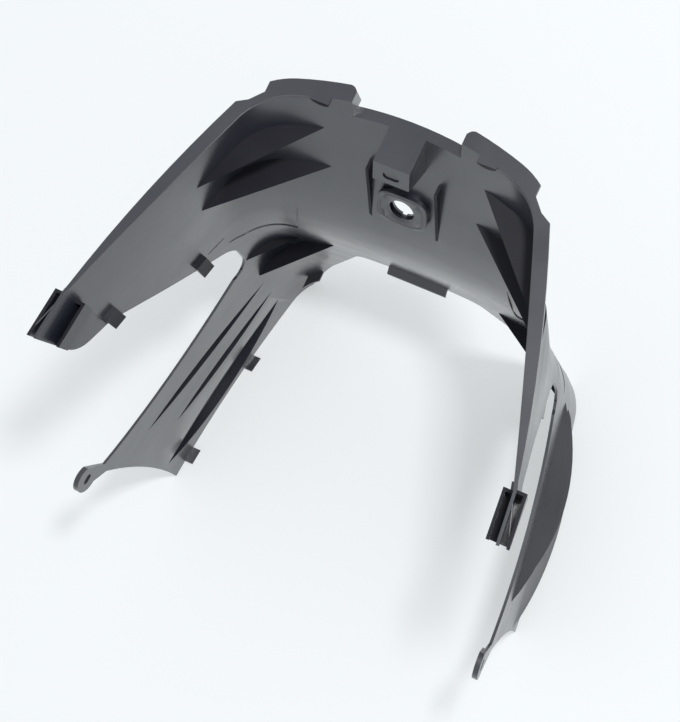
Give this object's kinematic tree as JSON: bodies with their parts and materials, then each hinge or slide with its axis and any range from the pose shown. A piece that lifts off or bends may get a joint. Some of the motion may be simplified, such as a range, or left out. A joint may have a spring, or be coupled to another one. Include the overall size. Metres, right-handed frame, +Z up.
{
  "type": "leg shield",
  "caption": "One-piece moulded plastic leg shield: a U-shaped shell with upper and lower arms that wraps a motorbike's steering column, with lock hole, bracket and eyelet ears.",
  "frame": {"origin": "on the floor under the middle of the shield's length and width, where it stands on its lower arms", "axes": "+X across to the shield's right arm as seen from behind, +Y towards the front wall, +Z up to the rim"},
  "size_m": [0.4052, 0.3638, 0.377],
  "materials": {
    "shell": "satin black moulded plastic, glossier outside"
  },
  "bodies": {
    "root": {"leg_shield": "shell"}
  },
  "joints": []
}
